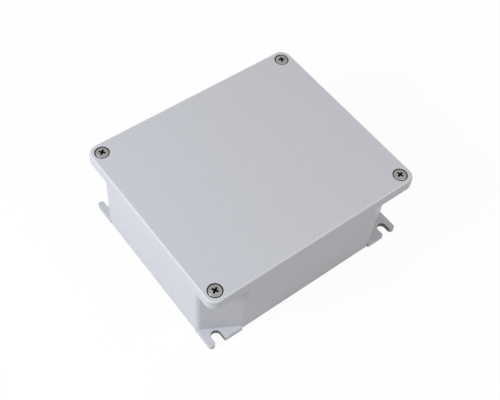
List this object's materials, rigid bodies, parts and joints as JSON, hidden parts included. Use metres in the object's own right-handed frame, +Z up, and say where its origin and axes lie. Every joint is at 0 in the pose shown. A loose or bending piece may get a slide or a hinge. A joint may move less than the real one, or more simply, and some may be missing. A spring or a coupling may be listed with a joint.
{
  "type": "die cast aluminium box",
  "caption": "Closed rectangular die cast aluminium enclosure with a flat screwed lid, cut corners under an overhanging rim and slotted mounting feet at its base.",
  "frame": {"origin": "centre of the base, on the surface that the box stands on", "axes": "+X along the longer side, +Y along the shorter side, +Z up towards the lid"},
  "size_m": [0.166, 0.142, 0.0644],
  "materials": {
    "coated_casting": "light grey matt powder coat with a fine sand texture on die cast aluminium",
    "screw_steel": "plain stainless steel, turned and stamped",
    "gasket_rubber": "matt black sealing rubber",
    "ring_nylon": "natural nylon",
    "clamp_brass": "stamped brass"
  },
  "bodies": {
    "root": {"body": "coated_casting", "lid": "coated_casting", "lid_gasket": "gasket_rubber", "lid_screw_front_left": "screw_steel", "lid_screw_front_right": "screw_steel", "lid_screw_rear_left": "screw_steel", "lid_screw_rear_right": "screw_steel", "captive_ring_front_left": "ring_nylon", "captive_ring_front_right": "ring_nylon", "captive_ring_rear_left": "ring_nylon", "captive_ring_rear_right": "ring_nylon", "earth_screw": "screw_steel", "earth_spring_washer": "screw_steel", "earth_clamp_plate": "clamp_brass"}
  },
  "joints": []
}
